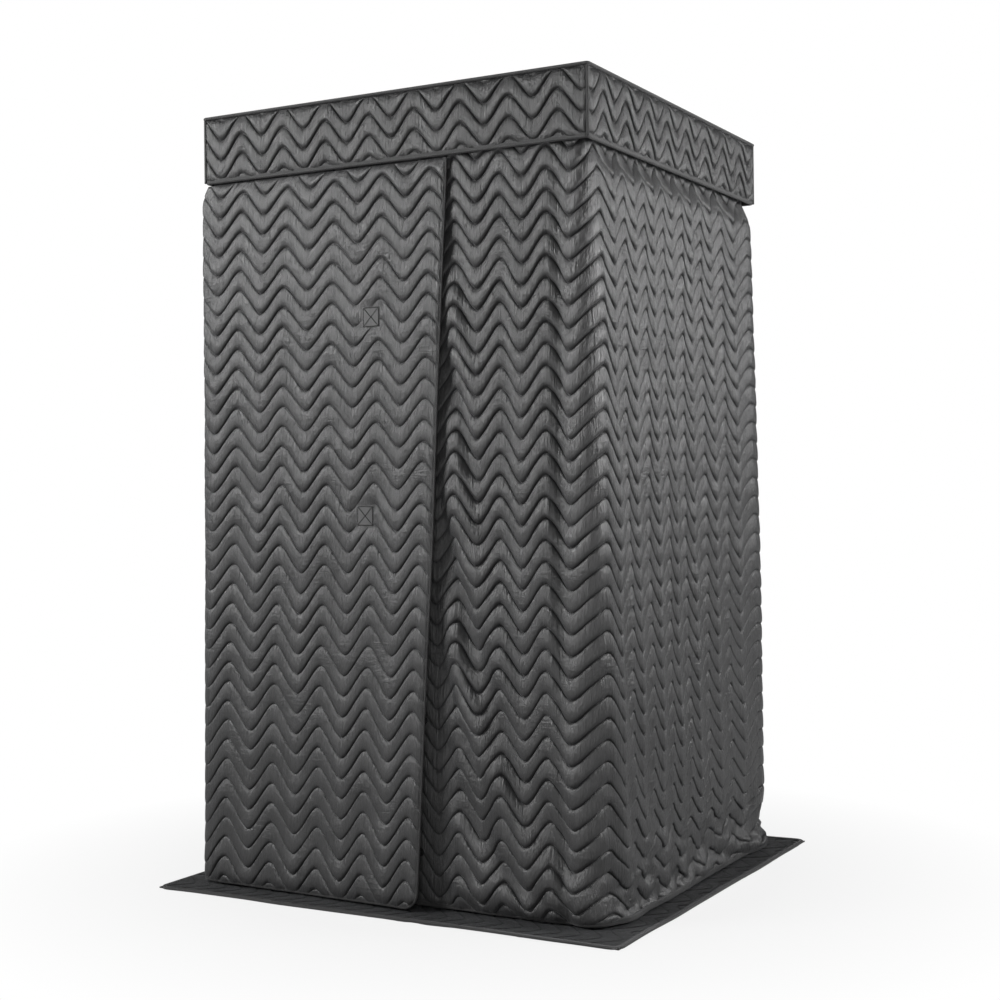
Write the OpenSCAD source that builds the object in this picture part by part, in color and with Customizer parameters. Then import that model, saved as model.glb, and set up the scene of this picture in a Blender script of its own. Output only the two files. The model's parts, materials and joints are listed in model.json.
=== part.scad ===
// Walk-in quilted enclosure: a push-together tube frame, a quilted wall curtain with a
// flap door on the front, a lift-off roof cover with a hanging valance, and a floor mat.
// Units are millimetres. +Z is up, the front faces -Y, and the origin is on the floor
// at the centre of the footprint.

/* [Overall size] */
// Outer width and depth over the roof piping
body_w = 1110; // [1000:10:1300]
// Height from the floor to the top of the roof piping
body_h = 2000; // [1800:10:2300]
// Side of the square floor mat over its binding
mat_w = 1300; // [1280:10:1700]
// Thickness of the floor mat
mat_t = 10; // [6:1:12]

/* [Frame] */
// Outer diameter of the posts and rails
tube_d = 19; // [16:1:20]
// Wall thickness of every tube
tube_wall = 1.2; // [0.8:0.1:2]
// Outer diameter of the corner sockets
socket_d = 26; // [24:1:26]
// Length of a corner socket from the corner's centre
socket_reach = 60; // [40:5:90]
// Outer diameter of the two roof bars
bar_d = 16; // [12:1:16]
// Distance between the two roof bars
bar_gap = 330; // [200:10:500]

/* [Fabric] */
// Thickness of the quilted fabric
quilt_t = 8; // [6:1:8]
// Height of the roof valance over its hem binding
valance_h = 176; // [120:2:240]
// How far the wall curtain spreads out over the mat at its foot
skirt_spread = 55; // [20:5:60]
// Height at which the wall curtain starts to spread
skirt_h = 130; // [60:5:200]

/* [Door] */
// Distance of the door's free edge from the centre plane, under the valance
door_free_top = 176; // [140:2:260]
// Distance of the door's free edge from the centre plane, at the floor
door_free_foot = 104; // [100:2:220]
// Distance of the fixed front panel's free edge from the centre plane
panel_edge = 56; // [20:2:60]
// Radius of the door's lower free corner
door_corner_r = 34; // [10:2:60]
// Height of the lower end of the door's pull strap
strap_low = 940; // [800:10:1000]
// Length of the pull strap
strap_len = 530; // [300:10:600]

/* [Hidden] */
$fn = 48;

gap = 0.5;                  // clearance between soft parts that lie against each other
slip = 0.15;                // radial clearance of a tube in its socket
binding_w = 5;              // how far an edge binding stands out past the fabric

// Layers of the wall, each a distance from the centre plane, from the outside in.
piping_out = body_w / 2;
piping_in = piping_out - 5.5;
valance_out = piping_in - gap;
valance_in = valance_out - quilt_t;
door_out = valance_out - 5;
door_in = door_out - quilt_t;
header_out = door_in - 1.5;
header_in = header_out - 3.5;
wall_out = header_in - 2;
wall_in = wall_out - quilt_t;
wall_corner_r = quilt_t + 22;
corner_c = wall_out - wall_corner_r;      // centre of each rounded wall corner
post_c = wall_in - 4 - socket_d / 2;      // centre line of the posts and rails

// Heights.
foot_z = mat_t + gap;
foot_h = 11.5;
spigot_r = 9;
hub_r = socket_d / 2;
base_z = foot_z + foot_h + hub_r;
roof_top = body_h - 2;
roof_z = roof_top - quilt_t;
top_z = roof_z - 3 - hub_r;
wall_foot = mat_t + 2;
wall_top = roof_z - 5;
valance_foot = body_h - valance_h;
door_top = valance_foot - 4;
door_foot = mat_t + 12;
tube_stop = hub_r + 3;                    // distance of a tube's end from its corner's centre
split_z = (base_z + top_z) / 2;           // where the lower and upper posts meet
strap_w = 38;
magnet_count = 6;

CHARCOAL = [0.17, 0.17, 0.18];
BINDING = [0.08, 0.08, 0.085];
STEEL = [0.62, 0.63, 0.65];
MOULDED = [0.12, 0.12, 0.13];
WEB = [0.1, 0.1, 0.1];

// ---------- shared shapes ----------

// Copies the children onto the four posts. Each child is drawn for the front left post.
module at_corner(x_side, y_side) {
    scale_x = x_side < 0 ? 0 : 1;
    scale_y = y_side < 0 ? 0 : 1;
    mirror([scale_x, 0, 0]) mirror([0, scale_y, 0]) children();
}

module each_corner() {
    for (x_side = [-1, 1], y_side = [-1, 1]) at_corner(x_side, y_side) children();
}

// A hollow tube that starts at the origin and runs up.
module tube(diameter, length) {
    difference() {
        cylinder(d = diameter, h = length);
        translate([0, 0, -1]) cylinder(d = diameter - 2 * tube_wall, h = length + 2);
    }
}

// A square slab centred on the Z axis, with round corners.
module rounded_slab(half, radius, height) {
    linear_extrude(height) union() {
        square([2 * half, 2 * (half - radius)], center = true);
        square([2 * (half - radius), 2 * half], center = true);
        for (x = [-1, 1], y = [-1, 1])
            translate([x * (half - radius), y * (half - radius)]) circle(r = radius);
    }
}

// A square ring round the Z axis, with round corners.
module rounded_ring(half, radius, width, height) {
    difference() {
        rounded_slab(half, radius, height);
        translate([0, 0, -1]) rounded_slab(half - width, max(radius - width, 1), height + 2);
    }
}

// A square ring round the Z axis, with square corners.
module square_ring(half, width, height) {
    difference() {
        translate([-half, -half, 0]) cube([2 * half, 2 * half, height]);
        translate([width - half, width - half, -1]) cube([2 * (half - width), 2 * (half - width), height + 2]);
    }
}

// A flat bar between two corners, lying along X at the front of the frame.
module rail(height) {
    length = 2 * (post_c - tube_stop);
    color(STEEL) translate([-length / 2, -post_c, height]) rotate([0, 90, 0]) tube(tube_d, length);
}

// ---------- frame ----------

module base_rail(turn) {
    rotate(turn) rail(base_z);
}

module top_rail(turn) {
    rotate(turn) rail(top_z);
}

module lower_post(x_side, y_side) {
    start = base_z + tube_stop;
    color(STEEL) translate([x_side * post_c, y_side * post_c, start]) tube(tube_d, split_z - 2 - start);
}

module upper_post(x_side, y_side) {
    start = split_z + 2;
    color(STEEL) translate([x_side * post_c, y_side * post_c, start])
        tube(tube_d, top_z - tube_stop - start);
}

// A sleeve over both post ends, with a thin web between them.
module post_couplers() {
    half = 50;
    web = 1.5;
    color(MOULDED) each_corner() translate([-post_c, -post_c, split_z]) difference() {
        translate([0, 0, -half]) cylinder(d = tube_d + 5, h = 2 * half);
        translate([0, 0, web]) cylinder(d = tube_d + 2 * slip, h = half);
        translate([0, 0, -web - half]) cylinder(d = tube_d + 2 * slip, h = half);
    }
}

// Three sockets at right angles on a round hub: +X, +Y and up.
module three_way_corner() {
    turns = [[0, 90, 0], [-90, 0, 0], [0, 0, 0]];
    difference() {
        union() {
            sphere(r = hub_r);
            for (turn = turns) rotate(turn) cylinder(d = socket_d, h = socket_reach);
        }
        for (turn = turns) rotate(turn) translate([0, 0, tube_stop - 1])
            cylinder(d = tube_d + 2 * slip, h = socket_reach);
    }
}

// The base corner has a spigot underneath for the foot cap.
module base_corner(x_side, y_side) {
    color(MOULDED) at_corner(x_side, y_side) translate([-post_c, -post_c, base_z]) union() {
        three_way_corner();
        translate([0, 0, 4 + foot_z - base_z]) cylinder(r = spigot_r, h = base_z - foot_z - 4);
    }
}

module top_corner(x_side, y_side) {
    color(MOULDED) at_corner(x_side, y_side) translate([-post_c, -post_c, top_z])
        mirror([0, 0, 1]) three_way_corner();
}

// Rubber cups that stand on the mat.
module foot_caps() {
    color(BINDING) each_corner() translate([-post_c, -post_c, foot_z]) difference() {
        cylinder(r = hub_r, h = foot_h);
        translate([0, 0, 3.5]) cylinder(r = spigot_r + slip, h = foot_h);
    }
}

bar_half = post_c - tube_d / 2 - 4;

module roof_bar(side) {
    color(STEEL) translate([-bar_half, side * bar_gap / 2, top_z]) rotate([0, 90, 0])
        tube(bar_d, 2 * bar_half);
}

// Each clip grips a side rail and holds the end of a roof bar.
module roof_bar_clips() {
    grip = 30;
    socket = 50;
    for (x_side = [0, 1], y_side = [-1, 1])
        color(MOULDED) mirror([x_side, 0, 0]) translate([-post_c, y_side * bar_gap / 2, top_z]) difference() {
            union() {
                translate([0, -grip / 2, 0]) rotate([-90, 0, 0]) cylinder(d = socket_d, h = grip);
                rotate([0, 90, 0]) cylinder(d = bar_d + 6, h = socket);
            }
            translate([0, -grip, 0]) rotate([-90, 0, 0]) cylinder(d = tube_d + 2 * slip, h = 2 * grip);
            translate([post_c - bar_half - 0.2, 0, 0]) rotate([0, 90, 0])
                cylinder(d = bar_d + 2 * slip, h = socket);
        }
}

// ---------- floor ----------

module floor_mat() {
    color(CHARCOAL) rounded_slab(mat_w / 2 - binding_w - gap, 22, mat_t);
}

module floor_mat_binding() {
    color(BINDING) rounded_ring(mat_w / 2, 27, binding_w, mat_t);
}

// ---------- walls ----------

// The foot of the curtain, spreading over the mat, as a profile outward from a corner's centre.
function skirt_profile() = let(wall = wall_corner_r, spread = wall + skirt_spread) [
    [wall - 1, wall_foot], [wall - 1, skirt_h], [wall, skirt_h],
    [wall + 0.45 * skirt_spread, wall_foot + 16], [spread, wall_foot + 8], [spread, wall_foot]];

module skirt_side(turn) {
    rotate(turn) translate([corner_c, corner_c, 0]) rotate([90, 0, 0])
        linear_extrude(2 * corner_c) polygon(skirt_profile());
}

module skirt_corner(turn) {
    rotate(turn) translate([corner_c, corner_c, 0]) rotate_extrude(angle = 90) polygon(skirt_profile());
}

// One curtain from the door's hinge corner round the left, back and right sides to the
// free edge of the fixed front panel. The doorway is the gap in it.
module wall_curtain() {
    color(CHARCOAL) union() {
        difference() {
            translate([0, 0, wall_foot]) rounded_ring(wall_out, wall_corner_r, quilt_t, wall_top - wall_foot);
            translate([-corner_c, -wall_out - 10, wall_foot - 1])
                cube([corner_c + panel_edge, 60, wall_top - wall_foot + 2]);
        }
        for (turn = [0, 90, 180]) skirt_side(turn);
        for (turn = [0, 90]) skirt_corner(turn);
    }
}

// Tape round the foot of the curtain, and a second length along the front panel.
module wall_hem_binding() {
    edge = wall_out + skirt_spread + gap;
    height = 10;
    color(BINDING) {
        difference() {
            translate([0, 0, wall_foot - 1]) rounded_ring(edge + binding_w,
                wall_corner_r + skirt_spread + gap + binding_w, binding_w, height);
            translate([-mat_w / 2, -mat_w / 2, 0]) cube([mat_w, mat_w / 2 - corner_c, 60]);
        }
        translate([panel_edge, -wall_out - gap - 4, wall_foot]) cube([corner_c - panel_edge, 4, height]);
    }
}

module front_edge_binding() {
    color(BINDING) translate([panel_edge - gap - binding_w, -wall_out - 1, wall_foot])
        cube([binding_w, quilt_t + 2, wall_top - wall_foot]);
}

// The strip that the door hangs from, behind the valance.
module door_header() {
    overlap = 26;
    color(CHARCOAL) translate([-door_in, -header_out, door_top - overlap])
        cube([door_in + door_free_top, header_out - header_in, wall_top - door_top + overlap]);
}

// Webbing loops over the top rails, with a tail sewn to the inside of the curtain.
module hanger_strap(along) {
    width = 25;
    loop_r = tube_d / 2 + 0.6;
    web = 1.8;
    tail_out = wall_in - 0.6;
    translate([along - width / 2, 0, 0]) rotate([90, 0, 90]) {
        difference() {
            union() {
                translate([-post_c, top_z, 0]) cylinder(r = loop_r + web, h = width);
                translate([-tail_out, top_z - web, 0]) cube([tail_out - post_c, web, width]);
            }
            translate([-post_c, top_z, -1]) cylinder(r = loop_r, h = width + 2);
        }
        translate([-tail_out, top_z - 70, 0]) cube([web, 70, width]);
    }
}

module wall_hanger_straps() {
    spacing = 300;
    color(WEB) {
        for (turn = [90, 180, 270], place = [-1, 0, 1]) rotate(turn) hanger_strap(place * spacing);
        for (along = [panel_edge + 60, panel_edge + 60 + spacing]) hanger_strap(along);
    }
}

// Soft tape round the top of the curtain, which the roof cover's hook tape presses against.
module tape_strips(distance, thickness, height) {
    length = 900;
    for (turn = [90, 180, 270]) rotate(turn) translate([-length / 2, -distance - thickness, height])
        cube([length, thickness, 25]);
}

module wall_loop_tape() {
    color(WEB) tape_strips(wall_out + gap, 1.6, wall_top - 50);
}

// Where the door's free edge stands at a height.
function free_x(z) = door_free_foot + (door_free_top - door_free_foot) * (z - door_foot) / (door_top - door_foot);

module magnet_row(distance, thickness) {
    inset = 34;
    for (i = [0 : magnet_count - 1]) {
        z = door_foot + 120 + i * (door_top - door_foot - 200) / (magnet_count - 1);
        translate([free_x(z) - inset, -distance, z]) rotate([90, 0, 0]) cylinder(r = 9, h = thickness);
    }
}

module front_magnets() {
    color(STEEL) magnet_row(wall_out + 0.4, 1.8);
}

// ---------- door ----------

// The door's outline, grown by a margin past its free edge and its foot.
function door_outline(margin) = let(
        foot = door_foot + binding_w + gap - margin,
        lean = atan2(door_free_top - door_free_foot, door_top - door_foot),
        shift = (margin - binding_w - gap) / cos(lean),
        radius = door_corner_r + margin,
        centre_z = foot + radius,
        centre_x = free_x(centre_z) + shift - radius / cos(lean),
        steps = 8)
    concat(
        [[-door_out, door_top], [-door_out, foot]],
        [for (i = [0 : steps]) let(a = -90 + i * (90 - lean) / steps)
            [centre_x + radius * cos(a), centre_z + radius * sin(a)]],
        [[free_x(door_top) + shift, door_top]]);

module door_sheet(margin, outside, thickness) {
    translate([0, -outside + thickness, 0]) rotate([90, 0, 0])
        linear_extrude(thickness) polygon(door_outline(margin));
}

module door_flap() {
    color(CHARCOAL) door_sheet(0, door_out, quilt_t);
}

module door_edge_binding() {
    color(BINDING) difference() {
        door_sheet(binding_w + gap, door_out + 1, quilt_t + 2);
        translate([0, 0, 1]) door_sheet(gap, door_out + 5, quilt_t + 10);
        translate([-2 * door_out, -door_out - 20, door_top]) cube([4 * door_out, 60, 60]);
        translate([0, 0, -1]) door_sheet(gap, door_out + 5, quilt_t + 10);
    }
}

// Webbing sewn to the inside of the door at both ends and bowed in between, to pull it shut.
module door_pull_strap() {
    web = 2;
    sewn = 42;
    bow = 4;
    lean = atan2(door_free_top - door_free_foot, door_top - door_foot);
    far = strap_len - sewn;
    third = strap_len / 4;
    color(WEB) translate([-66, -door_in + gap, strap_low]) rotate([0, lean, 0])
        translate([-strap_w / 2, 0, 0]) rotate([90, 0, 90]) linear_extrude(strap_w) polygon([
            [0, 0], [0, sewn], [bow, sewn + third], [bow, far - third], [0, far], [0, strap_len],
            [web, strap_len], [web, far + 2], [bow + web, far - third + 2],
            [bow + web, sewn + third - 2], [web, sewn - 2], [web, 0]]);
}

module door_magnets() {
    color(STEEL) magnet_row(door_in - 0.3 - 1.8, 1.8);
}

// ---------- roof cover ----------

module roof_panel() {
    color(CHARCOAL) translate([-valance_out, -valance_out, roof_z])
        cube([2 * valance_out, 2 * valance_out, quilt_t]);
}

// The front and back valances run the full width, and the side ones stand between them.
module valance(turn, half) {
    foot = valance_foot + binding_w + gap;
    color(CHARCOAL) rotate(turn) translate([-half, -valance_out, foot])
        cube([2 * half, quilt_t, roof_z - gap - foot]);
}

module roof_piping() {
    color(BINDING) translate([0, 0, roof_top - 7]) square_ring(piping_out, 5.5, 9);
}

// A cord down the outside of each corner of the valance.
module valance_corner_piping() {
    cord = 2.6;
    foot = valance_foot + binding_w + gap;
    color(BINDING) each_corner() translate([-valance_out - cord, -valance_out - cord, foot])
        cylinder(r = cord, h = roof_top - 8 - foot);
}

module valance_hem_binding() {
    color(BINDING) translate([0, 0, valance_foot]) square_ring(valance_out + 1, quilt_t + 2, binding_w);
}

module roof_hook_tape() {
    color(WEB) tape_strips(valance_in - 1.6 - gap, 1.6, wall_top - 50);
}

floor_mat();
floor_mat_binding();
base_rail(0);  // base_rail_front
base_rail(180);  // base_rail_back
base_rail(270);  // base_rail_left
base_rail(90);  // base_rail_right
lower_post(-1, -1);  // lower_post_front_left
lower_post(1, -1);  // lower_post_front_right
lower_post(-1, 1);  // lower_post_back_left
lower_post(1, 1);  // lower_post_back_right
upper_post(-1, -1);  // upper_post_front_left
upper_post(1, -1);  // upper_post_front_right
upper_post(-1, 1);  // upper_post_back_left
upper_post(1, 1);  // upper_post_back_right
post_couplers();
top_rail(0);  // top_rail_front
top_rail(180);  // top_rail_back
top_rail(270);  // top_rail_left
top_rail(90);  // top_rail_right
base_corner(-1, -1);  // base_corner_front_left
base_corner(1, -1);  // base_corner_front_right
base_corner(-1, 1);  // base_corner_back_left
base_corner(1, 1);  // base_corner_back_right
top_corner(-1, -1);  // top_corner_front_left
top_corner(1, -1);  // top_corner_front_right
top_corner(-1, 1);  // top_corner_back_left
top_corner(1, 1);  // top_corner_back_right
foot_caps();
roof_bar(-1);  // roof_bar_front
roof_bar(1);  // roof_bar_back
roof_bar_clips();
wall_curtain();
wall_hem_binding();
front_edge_binding();
door_header();
wall_hanger_straps();
wall_loop_tape();
front_magnets();
door_flap();
door_edge_binding();
door_pull_strap();
door_magnets();
roof_panel();
valance(0, valance_out);  // valance_front
valance(180, valance_out);  // valance_back
valance(270, valance_in - gap);  // valance_left
valance(90, valance_in - gap);  // valance_right
roof_piping();
valance_corner_piping();
valance_hem_binding();
roof_hook_tape();
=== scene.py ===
"""Looks for the quilted enclosure tent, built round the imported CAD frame.

Everything is in metres, with +Z up and the door facing -Y. Each quilted panel is a closed sheet
whose rows of vertices follow its zigzag stitch lines, so that every crease is an edge of the mesh.
"""

import json
import math

import bmesh
import bpy
import numpy as np
from mathutils import Matrix, Vector


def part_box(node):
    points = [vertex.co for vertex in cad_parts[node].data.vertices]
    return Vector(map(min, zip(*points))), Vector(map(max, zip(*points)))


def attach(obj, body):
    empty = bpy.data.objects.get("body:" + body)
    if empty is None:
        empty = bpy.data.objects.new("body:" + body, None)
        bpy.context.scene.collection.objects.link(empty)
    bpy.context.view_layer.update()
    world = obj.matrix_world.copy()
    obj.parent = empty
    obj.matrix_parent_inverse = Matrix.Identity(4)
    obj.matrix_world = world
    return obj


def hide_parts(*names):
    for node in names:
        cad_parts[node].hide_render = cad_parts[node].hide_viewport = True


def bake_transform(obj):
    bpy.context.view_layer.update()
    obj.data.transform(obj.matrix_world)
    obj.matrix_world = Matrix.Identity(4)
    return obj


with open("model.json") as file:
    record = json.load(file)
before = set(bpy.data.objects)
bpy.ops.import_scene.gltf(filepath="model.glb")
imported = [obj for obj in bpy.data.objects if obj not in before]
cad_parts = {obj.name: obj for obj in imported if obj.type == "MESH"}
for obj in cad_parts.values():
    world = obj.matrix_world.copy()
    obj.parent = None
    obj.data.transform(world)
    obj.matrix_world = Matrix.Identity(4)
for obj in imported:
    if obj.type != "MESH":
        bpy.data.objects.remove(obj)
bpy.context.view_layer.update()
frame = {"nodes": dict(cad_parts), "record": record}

MM = 0.001
X, Y, Z = np.eye(3)

# ---- Places, from the CAD frame

curtain_lo, curtain_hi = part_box("wall_curtain")
header_lo, header_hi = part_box("door_header")
door_lo, door_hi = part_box("door_flap")
roof_lo, roof_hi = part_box("roof_panel")
strap_lo, strap_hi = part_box("door_pull_strap")

WALL_OUT = -curtain_lo[1]                 # the walls' outer face, from the centre plane
WALL_TOP = curtain_hi[2]
WALL_FOOT = curtain_lo[2]
WALL_HEM = WALL_FOOT + 3 * MM
SKIRT_OUT = curtain_hi[0]
PANEL_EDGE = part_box("front_edge_binding")[1][0] + 0.5 * MM      # free edge of the fixed front panel
DOOR_OUT = -door_lo[1]
DOOR_LEFT = door_lo[0]
DOOR_FREE = door_hi[0]
DOOR_TOP = door_hi[2]
DOOR_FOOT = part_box("door_edge_binding")[0][2] - 5 * MM
DOOR_SPAN = DOOR_TOP - DOOR_FOOT
VALANCE_OUT = -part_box("valance_front")[0][1]
HEM_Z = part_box("valance_hem_binding")[0][2]
ROOF_TOP = roof_hi[2]
MAT_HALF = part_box("floor_mat_binding")[1][0]
MAT_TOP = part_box("floor_mat")[1][2]

# ---- The quilting

PITCH = 50.6 * MM       # distance between stitch lines, measured straight up
PERIOD = 141 * MM       # length of one zigzag
AMPLITUDE = 29 * MM     # half of a zigzag's height
FRONT_PERIOD = 0.883 * PERIOD
SAGGING = 0.6           # 0 for flat-topped padding, 1 for padding that has sunk to the bottom
STITCHED_T = 3 * MM     # thickness of a sheet along a stitch line
EDGE_FLAT = 16 * MM     # how far in from a bound edge the padding is pressed down
TRIM = 0.8 * MM         # rows of vertices closer than this to a border give way to it
OUTER_LEVELS = (0.0, 0.03, 0.075, 0.14, 0.25, 0.5, 0.75, 0.86, 0.925, 0.97)
INNER_LEVELS = (0.0, 0.3, 0.7)
SEEN_INNER_LEVELS = (0.0, 0.06, 0.3, 0.7, 0.94)      # for a sheet whose inside shows when it's open


def unit(vectors):
    return vectors / np.maximum(np.linalg.norm(vectors, axis=-1, keepdims=True), 1e-12)


def smooth(x, lo, hi):
    """0 below lo, 1 above hi, and a smooth step between."""
    t = np.clip((np.asarray(x, float) - lo) / (hi - lo), 0, 1)
    return t * t * (3 - 2 * t)


def near(x, centre, reach):
    """1 at a centre, and falling to 0 on both sides of it."""
    return np.exp(-((x - centre) / reach) ** 2)


def noise(x, y, seed):
    """Smooth value noise from -1 to 1. One lattice cell is one unit of x and y."""
    size = 64
    lattice = np.random.RandomState(seed).uniform(-1, 1, (size, size))
    x, y = np.broadcast_arrays(np.asarray(x, float), np.asarray(y, float))
    i, j = np.floor(x).astype(int), np.floor(y).astype(int)
    across, up = smooth(x - i, 0, 1), smooth(y - j, 0, 1)
    rows = []
    for row in (j % size, (j + 1) % size):
        rows.append(lattice[i % size, row] * (1 - across) + lattice[(i + 1) % size, row] * across)
    return rows[0] * (1 - up) + rows[1] * up


def ridges(x, y, seed):
    """Noise with sharp crests."""
    return 1 - 2 * np.abs(noise(x, y, seed)) ** 0.7


def zigzag(phase, sharpness):
    """A triangle wave from -1 to 1 with rounded tips. Phase 0 is a rising middle."""
    return np.arcsin(sharpness * np.sin(2 * np.pi * phase)) / np.arcsin(sharpness)


def tips(phase, lo, hi):
    """0 on the legs of a zigzag and 1 at its tips."""
    return smooth(np.abs(zigzag(phase, 0.9)), lo, hi)


def puff_profile(t):
    """Height of the padding between two stitch lines, t from 0 at the lower one to 1 at the upper."""
    t = np.clip(t, 0, 1)
    flat = np.clip(1 - np.abs(2 * t - 1) ** 8, 0, 1) ** 0.8
    low = t ** 0.6
    return (1 - SAGGING) * flat + SAGGING * 4 * low * (1 - low)


def uneven_seam(phase, along, z, seed):
    """How far the seam distance is widened, so that the thread and the painted crease shade look fainter at
    a stitch line's tips, on its rising legs and here and there.
    """
    rising = smooth(np.cos(2 * np.pi * phase), 0.0, 0.6)
    patchy = smooth(noise(along / 0.09, z / 0.06, seed), 0.1, 0.8)
    return (1.9 * tips(phase, 0.55, 0.95) + 0.7 * rising + 1.4 * patchy) * MM


def with_normals(points_at, s, z, step=2 * MM):
    """Points of a surface and its outward normals, from the surface's own slopes."""
    s, z = np.broadcast_arrays(np.asarray(s, float), np.asarray(z, float))
    along = points_at(s + step, z) - points_at(s - step, z)
    upward = points_at(s, z + step) - points_at(s, z - step)
    return points_at(s, z), unit(np.cross(along, upward))


# ---- Meshes


def make_object(name, points, faces, material=None, cloth=None, seams=None):
    """A mesh object. Cloth holds each vertex's place on the cloth, in metres, and becomes a UV map."""
    mesh = bpy.data.meshes.new(name)
    mesh.from_pydata(points.tolist(), [], faces)
    mesh.update()
    mesh.polygons.foreach_set("use_smooth", np.ones(len(mesh.polygons), bool))
    obj = bpy.data.objects.new(name, mesh)
    bpy.context.scene.collection.objects.link(obj)
    if cloth is not None:
        loops = np.empty(len(mesh.loops), np.int32)
        mesh.loops.foreach_get("vertex_index", loops)
        mesh.uv_layers.new(name="cloth").data.foreach_set("uv", cloth.astype(np.float32)[loops].ravel())
    if seams is not None:
        attribute = mesh.attributes.new("seam", "FLOAT", "POINT")
        attribute.data.foreach_set("value", seams.astype(np.float32))
    if material is not None:
        mesh.materials.append(material)
    return obj


def turn_outwards(obj):
    bm = bmesh.new()
    bm.from_mesh(obj.data)
    bmesh.ops.recalc_face_normals(bm, faces=bm.faces)
    bm.to_mesh(obj.data)
    bm.free()
    return obj


def joined(name, objects):
    """One object from several with the same material."""
    bm = bmesh.new()
    for obj in objects:
        bm.from_mesh(obj.data)
    result = objects[0]
    bm.to_mesh(result.data)
    bm.free()
    for obj in objects[1:]:
        bpy.data.objects.remove(obj)
    result.name = name
    return result


def fit(obj, body, slot, *nodes):
    """Hides the CAD nodes a piece covers and puts the piece on its body; the slot is not used. A piece on
    the hinge, where the door is sewn to the walls, has its transform applied and is put on no body."""
    if nodes:
        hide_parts(*nodes)
    if body == "hinge":
        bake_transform(obj)
    else:
        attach(obj, body)


def grid(across, upward):
    return np.meshgrid(across, upward, indexing="ij")


def grid_quads(ids):
    """Faces between neighbouring columns and rows of numbered vertices."""
    return np.stack([ids[:-1, :-1], ids[1:, :-1], ids[1:, 1:], ids[:-1, 1:]], -1).reshape(-1, 4)


class Sheet:
    """A quilted sheet. A kind of sheet has place(s, z), its outer face without padding and the
    normals there, across(s, z), the distance along the cloth from its left edge, wave(s, z), how far
    the stitch lines stand above their rows' heights, and columns, its values of s from left to right."""

    inner_puff = 0.4
    inner_levels = INNER_LEVELS
    flat_edges = "lrtb"
    first_row = 0.0

    def low(self, s):
        return np.full(np.shape(s), self.foot)

    def high(self, s):
        return np.full(np.shape(s), self.top)


def solve_rows(sheet, levels):
    """Heights of every row of vertices on each column. A row is a stitch line, or lies between two."""
    reach = 2 * AMPLITUDE + PITCH
    lowest = math.floor((np.min(sheet.low(sheet.columns)) - reach - sheet.first_row) / PITCH)
    highest = math.ceil((np.max(sheet.high(sheet.columns)) + reach - sheet.first_row) / PITCH)
    rows = (np.arange(lowest, highest)[:, None] + np.array(levels)).ravel()
    s, level = grid(sheet.columns, sheet.first_row + rows * PITCH)
    z = level
    for _ in range(5):
        z = level + sheet.wave(s, z)
    return s, np.maximum.accumulate(z, axis=1)


def face_points(sheet, s, z, inner=False):
    """Points on one face of a sheet, their places on the cloth and distances from a stitch line."""
    rows = (z - sheet.wave(s, z) - sheet.first_row) / PITCH
    t = rows - np.floor(rows)
    across = sheet.across(s, z)
    width = sheet.across(np.full_like(z, sheet.columns[-1]), z)
    distances = {"b": z - sheet.low(s), "t": sheet.high(s) - z, "l": across, "r": width - across}
    edge = np.ones(s.shape)
    for side in sheet.flat_edges:
        edge = np.minimum(edge, smooth(distances[side], -2 * MM, EDGE_FLAT))
    height = sheet.puff * sheet.relief(s, z) * puff_profile(t) * (0.12 + 0.88 * edge)
    points, normals = sheet.place(s, z)
    if inner:
        lift = -STITCHED_T - sheet.inner_puff * height
    else:
        lift = height + sheet.detail(s, z) * edge
    # The seam distance drives the thread and the painted crease shade of the quilt material; widening it
    # makes both fainter.
    seam = np.minimum(t, 1 - t) * PITCH * 0.75 + sheet.seam_and_shade_fade(s, z)
    return points + normals * lift[..., None], np.stack([across, z], -1), seam


def trimmed_face(sheet, levels, inner, start):
    """One face of a sheet, cut off along its foot and top: points, cloth places, seam distances,
    faces and borders. Its vertices are numbered from start."""
    s, z = solve_rows(sheet, levels)
    low, high = sheet.low(s[:, :1]), sheet.high(s[:, :1])
    count, rows = z.shape
    first = np.sum(z <= low + TRIM, axis=1) - 1
    last = rows - np.sum(z >= high - TRIM, axis=1)
    row = np.arange(rows)[None, :]
    z = np.where(row <= first[:, None], low, z)
    z = np.where(row >= last[:, None], high, z)
    points, cloth, seams = face_points(sheet, s, z, inner)
    ids = np.arange(count)[:, None] * rows + np.clip(row, first[:, None], last[:, None])
    used, compact = np.unique(ids, return_inverse=True)
    ids = compact.reshape(ids.shape) + start
    quads = grid_quads(ids)
    left, right = quads[:, 0] == quads[:, 3], quads[:, 1] == quads[:, 2]
    faces = quads[~left & ~right].tolist()
    faces += quads[left & ~right][:, [0, 1, 2]].tolist()
    faces += quads[~left & right][:, [0, 1, 3]].tolist()
    borders = {"b": ids[np.arange(count), first], "t": ids[np.arange(count), last]}
    for side, column in (("l", 0), ("r", -1)):
        kept = slice(first[column], last[column] + 1)
        borders[side] = (ids[column, kept].tolist(), z[column, kept].tolist())
    return points.reshape(-1, 3)[used], cloth.reshape(-1, 2)[used], seams.ravel()[used], faces, borders


def zip_columns(outer, inner):
    """Triangles between two columns of vertices at different heights."""
    (a, a_z), (b, b_z) = outer, inner
    i = j = 0
    faces = []
    while i < len(a) - 1 or j < len(b) - 1:
        if j == len(b) - 1 or (i < len(a) - 1 and a_z[i + 1] <= b_z[j + 1]):
            faces.append([a[i], a[i + 1], b[j]])
            i += 1
        else:
            faces.append([a[i], b[j + 1], b[j]])
            j += 1
    return faces


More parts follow.
